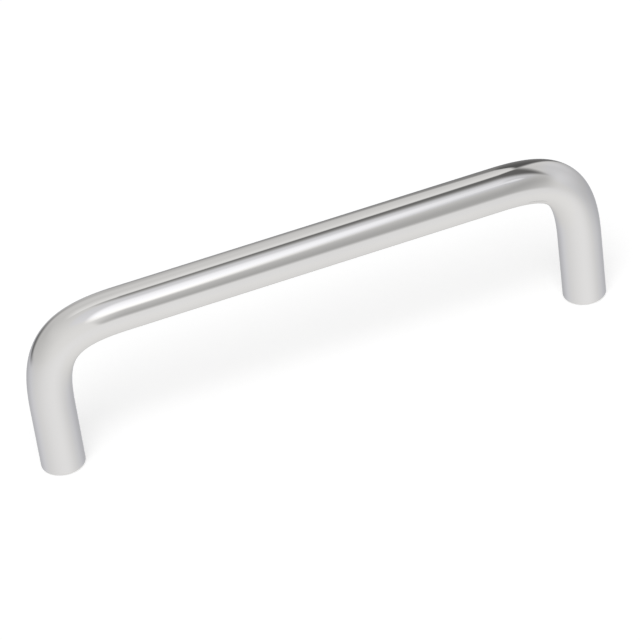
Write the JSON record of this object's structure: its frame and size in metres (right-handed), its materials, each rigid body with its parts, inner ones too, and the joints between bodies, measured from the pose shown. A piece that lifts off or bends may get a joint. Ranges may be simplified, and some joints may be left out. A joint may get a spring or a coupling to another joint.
{
  "type": "wire pull",
  "caption": "Cabinet and drawer pull bent from polished chrome round rod: a straight grip bar on legs with a tapped screw hole in each foot.",
  "frame": {"origin": "midway between the feet, on the mounting face where they meet the drawer front", "axes": "+X along the grip bar, +Y across the rod, +Z away from the drawer front, so the feet face -Z"},
  "size_m": [0.1096, 0.008, 0.032],
  "materials": {
    "polished_chrome": "polished chrome plate on steel rod"
  },
  "bodies": {
    "root": {"pull_rod": "polished_chrome"}
  },
  "joints": []
}
